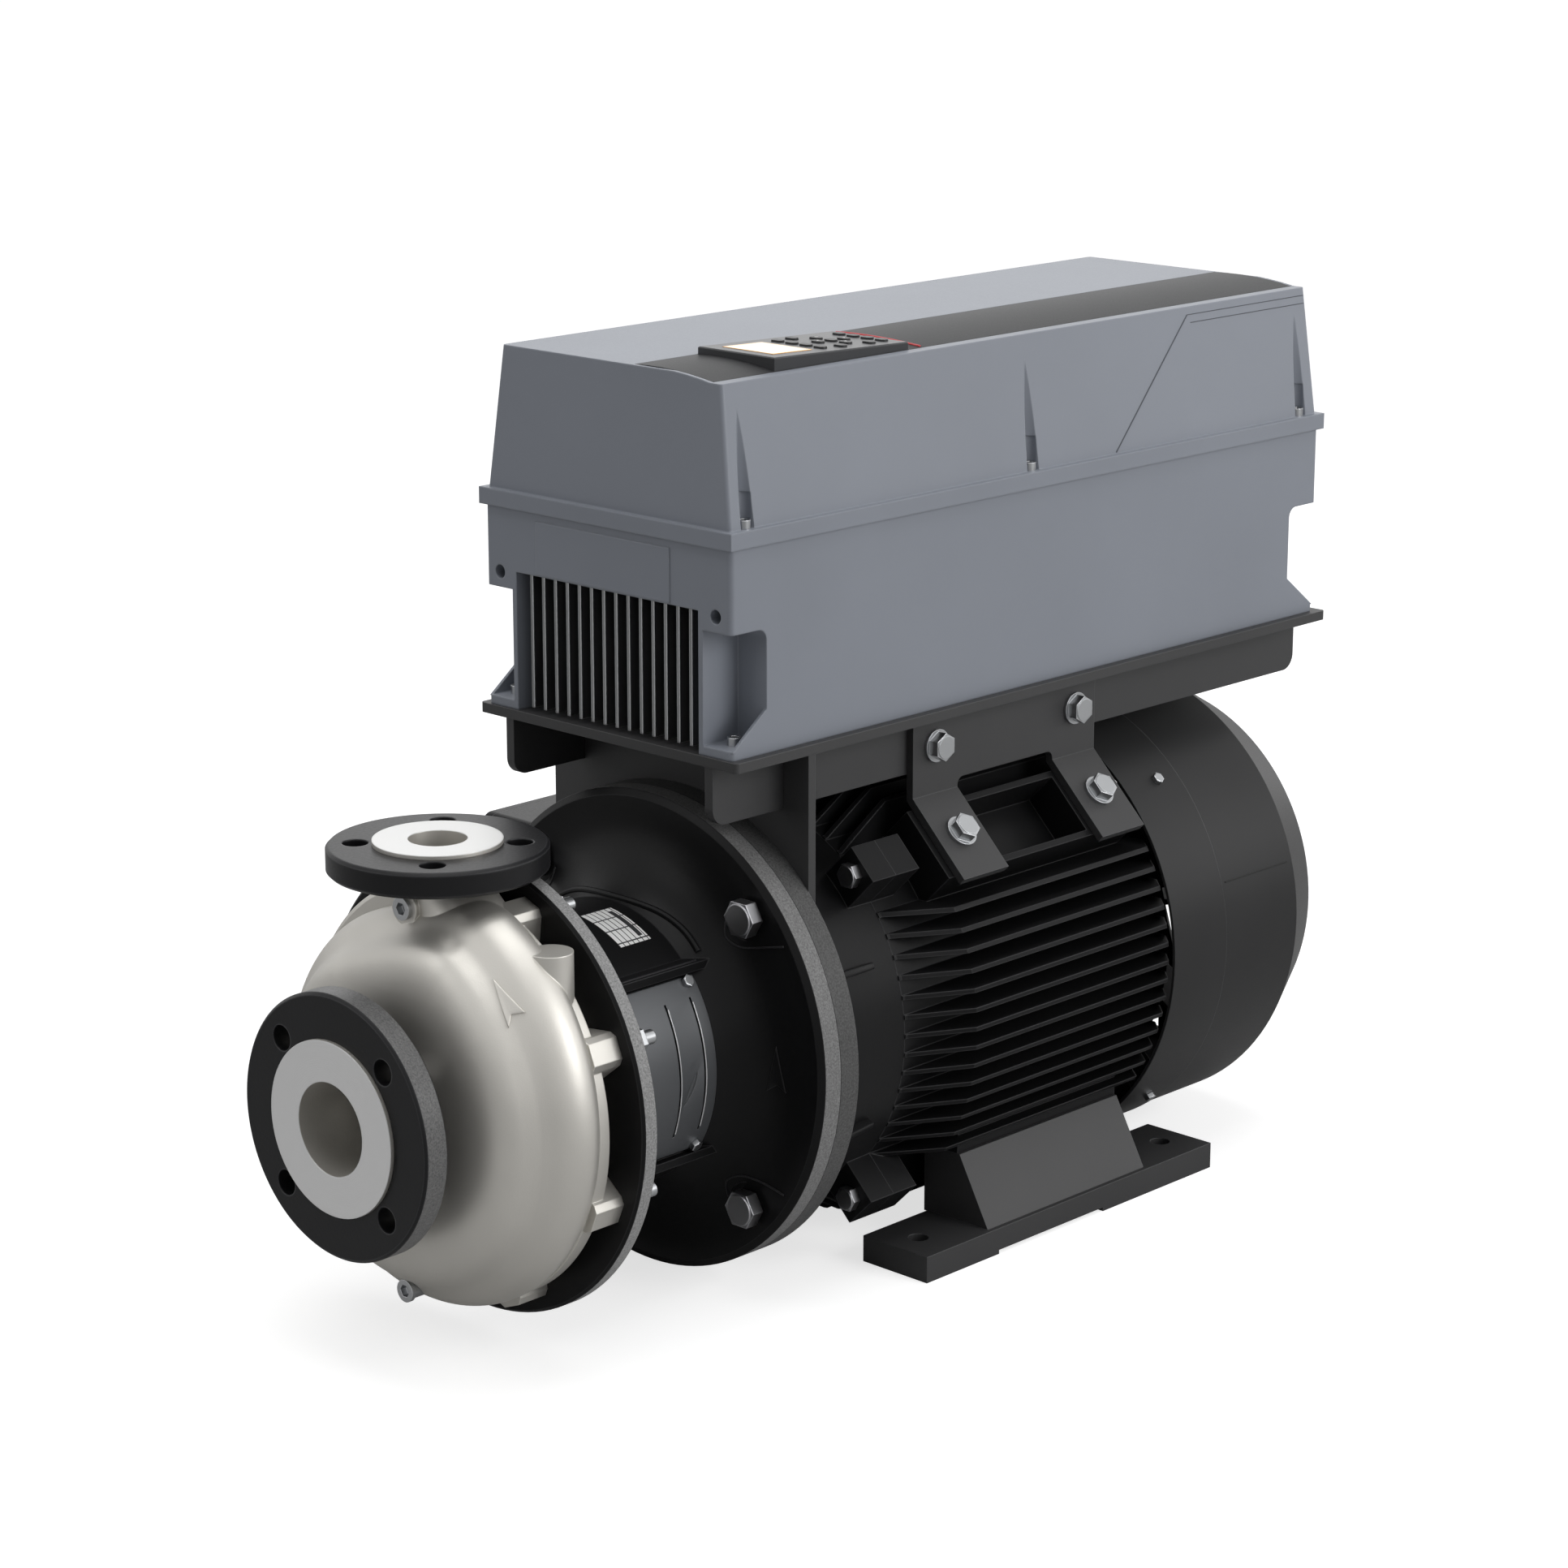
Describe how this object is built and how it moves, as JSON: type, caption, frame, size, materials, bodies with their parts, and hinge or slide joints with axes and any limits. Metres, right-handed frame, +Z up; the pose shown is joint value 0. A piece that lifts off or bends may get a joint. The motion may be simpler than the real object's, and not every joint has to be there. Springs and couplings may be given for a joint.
{
  "type": "centrifugal pump",
  "caption": "End-suction centrifugal pump with a foot-mounted flanged motor and a variable-speed drive carried above it on a bracketed tray.",
  "frame": {"origin": "centre of the motor-foot bolt pattern on the plane the feet stand on", "axes": "+Y along the shaft from the suction flange to the fan cowl, +Z up along the discharge, +X to the right seen from the suction flange"},
  "size_m": [0.4509, 0.915, 0.6675],
  "materials": {
    "cast_stainless": "bead-blasted casting with machined faces",
    "black_flange": "semi-gloss black",
    "turned_steel": "machined",
    "bearing_steel": "ground",
    "carbon_ring": "lapped",
    "black_casting": "satin black paint",
    "slate_sheet": "satin slate grey",
    "zinc_bolts": "bright zinc",
    "dark_bolts": "painted dark",
    "winding": "lacquered copper and steel stack",
    "core_steel": "steel laminations",
    "fan_plastic": "matte black",
    "black_powder": "fine-textured powder coat",
    "heatsink_alloy": "satin",
    "drive_paint": "satin blue-grey",
    "strip_plastic": "satin charcoal",
    "panel_plastic": "satin charcoal",
    "key_rubber": "satin",
    "display": "emissive"
  },
  "bodies": {
    "frame": {"volute_casing": "cast_stainless", "suction_flange": "black_flange", "discharge_flange": "black_flange", "casing_plugs": "turned_steel", "wear_ring": "turned_steel", "static_seals": "carbon_ring", "casing_cover": "cast_stainless", "motor_stool": "black_casting", "coupling_guards": "slate_sheet", "drive_end_shield": "black_casting", "stator_frame": "black_casting", "non_drive_end_shield": "black_casting", "fan_cowl": "black_casting", "wound_stator": "winding", "bearing_outer_races": "bearing_steel", "motor_foot_right": "black_casting", "motor_foot_left": "black_casting", "terminal_box": "black_casting", "terminal_box_lid": "black_casting", "tray_plate": "black_powder", "tray_rails": "black_powder", "front_support": "black_powder", "bracket_right": "black_powder", "bracket_left": "black_powder", "m12_bolts": "zinc_bolts", "stool_bolts": "dark_bolts", "end_shield_bolts": "dark_bolts", "m5_screws": "dark_bolts", "heatsink": "heatsink_alloy", "drive_body": "drive_paint", "drive_cover": "drive_paint", "m6_socket_screws": "dark_bolts", "top_strip": "strip_plastic", "control_panel": "panel_plastic", "display_window": "display"},
    "rotor": {"impeller": "cast_stainless", "impeller_nut": "turned_steel", "seal_rotating": "carbon_ring", "stub_shaft": "turned_steel", "motor_shaft": "turned_steel", "rotor_core": "core_steel", "bearing_inner_races": "bearing_steel", "cooling_fan": "fan_plastic"},
    "drive_fan": {"heatsink_fan": "fan_plastic"},
    "key_status_body": {"key_status": "key_rubber"},
    "key_quick_menu_body": {"key_quick_menu": "key_rubber"},
    "key_main_menu_body": {"key_main_menu": "key_rubber"},
    "key_alarm_log_body": {"key_alarm_log": "key_rubber"},
    "key_hand_body": {"key_hand": "key_rubber"},
    "key_off_body": {"key_off": "key_rubber"},
    "key_auto_body": {"key_auto": "key_rubber"},
    "key_reset_body": {"key_reset": "key_rubber"},
    "key_back_body": {"key_back": "key_rubber"},
    "key_cancel_body": {"key_cancel": "key_rubber"},
    "key_info_body": {"key_info": "key_rubber"},
    "key_ok_body": {"key_ok": "key_rubber"},
    "key_up_body": {"key_up": "key_rubber"},
    "key_down_body": {"key_down": "key_rubber"},
    "key_left_body": {"key_left": "key_rubber"},
    "key_right_body": {"key_right": "key_rubber"}
  },
  "joints": [
    {"name": "rotor_spin", "type": "hinge", "parent": "frame", "child": "rotor", "pos_m": [0, -0.3, 0.18], "axis": [0, 1, 0], "continuous": true},
    {"name": "heatsink_fan_spin", "type": "hinge", "parent": "frame", "child": "drive_fan", "pos_m": [0, 0.31, 0.45425], "axis": [0, 1, 0], "continuous": true},
    {"name": "key_status_press", "type": "slide", "parent": "frame", "child": "key_status_body", "axis": [0, 0, -1], "range_m": [0, 0.0012], "stiffness_N_per_m": 800, "springref_m": -0.0004},
    {"name": "key_quick_menu_press", "type": "slide", "parent": "frame", "child": "key_quick_menu_body", "axis": [0, 0, -1], "range_m": [0, 0.0012], "stiffness_N_per_m": 800, "springref_m": -0.0004},
    {"name": "key_main_menu_press", "type": "slide", "parent": "frame", "child": "key_main_menu_body", "axis": [0, 0, -1], "range_m": [0, 0.0012], "stiffness_N_per_m": 800, "springref_m": -0.0004},
    {"name": "key_alarm_log_press", "type": "slide", "parent": "frame", "child": "key_alarm_log_body", "axis": [0, 0, -1], "range_m": [0, 0.0012], "stiffness_N_per_m": 800, "springref_m": -0.0004},
    {"name": "key_hand_press", "type": "slide", "parent": "frame", "child": "key_hand_body", "axis": [0, 0, -1], "range_m": [0, 0.0012], "stiffness_N_per_m": 800, "springref_m": -0.0004},
    {"name": "key_off_press", "type": "slide", "parent": "frame", "child": "key_off_body", "axis": [0, 0, -1], "range_m": [0, 0.0012], "stiffness_N_per_m": 800, "springref_m": -0.0004},
    {"name": "key_auto_press", "type": "slide", "parent": "frame", "child": "key_auto_body", "axis": [0, 0, -1], "range_m": [0, 0.0012], "stiffness_N_per_m": 800, "springref_m": -0.0004},
    {"name": "key_reset_press", "type": "slide", "parent": "frame", "child": "key_reset_body", "axis": [0, 0, -1], "range_m": [0, 0.0012], "stiffness_N_per_m": 800, "springref_m": -0.0004},
    {"name": "key_back_press", "type": "slide", "parent": "frame", "child": "key_back_body", "axis": [0, 0, -1], "range_m": [0, 0.0012], "stiffness_N_per_m": 800, "springref_m": -0.0004},
    {"name": "key_cancel_press", "type": "slide", "parent": "frame", "child": "key_cancel_body", "axis": [0, 0, -1], "range_m": [0, 0.0012], "stiffness_N_per_m": 800, "springref_m": -0.0004},
    {"name": "key_info_press", "type": "slide", "parent": "frame", "child": "key_info_body", "axis": [0, 0, -1], "range_m": [0, 0.0012], "stiffness_N_per_m": 800, "springref_m": -0.0004},
    {"name": "key_ok_press", "type": "slide", "parent": "frame", "child": "key_ok_body", "axis": [0, 0, -1], "range_m": [0, 0.0012], "stiffness_N_per_m": 800, "springref_m": -0.0004},
    {"name": "key_up_press", "type": "slide", "parent": "frame", "child": "key_up_body", "axis": [0, 0, -1], "range_m": [0, 0.0012], "stiffness_N_per_m": 800, "springref_m": -0.0004},
    {"name": "key_down_press", "type": "slide", "parent": "frame", "child": "key_down_body", "axis": [0, 0, -1], "range_m": [0, 0.0012], "stiffness_N_per_m": 800, "springref_m": -0.0004},
    {"name": "key_left_press", "type": "slide", "parent": "frame", "child": "key_left_body", "axis": [0, 0, -1], "range_m": [0, 0.0012], "stiffness_N_per_m": 800, "springref_m": -0.0004},
    {"name": "key_right_press", "type": "slide", "parent": "frame", "child": "key_right_body", "axis": [0, 0, -1], "range_m": [0, 0.0012], "stiffness_N_per_m": 800, "springref_m": -0.0004}
  ]
}
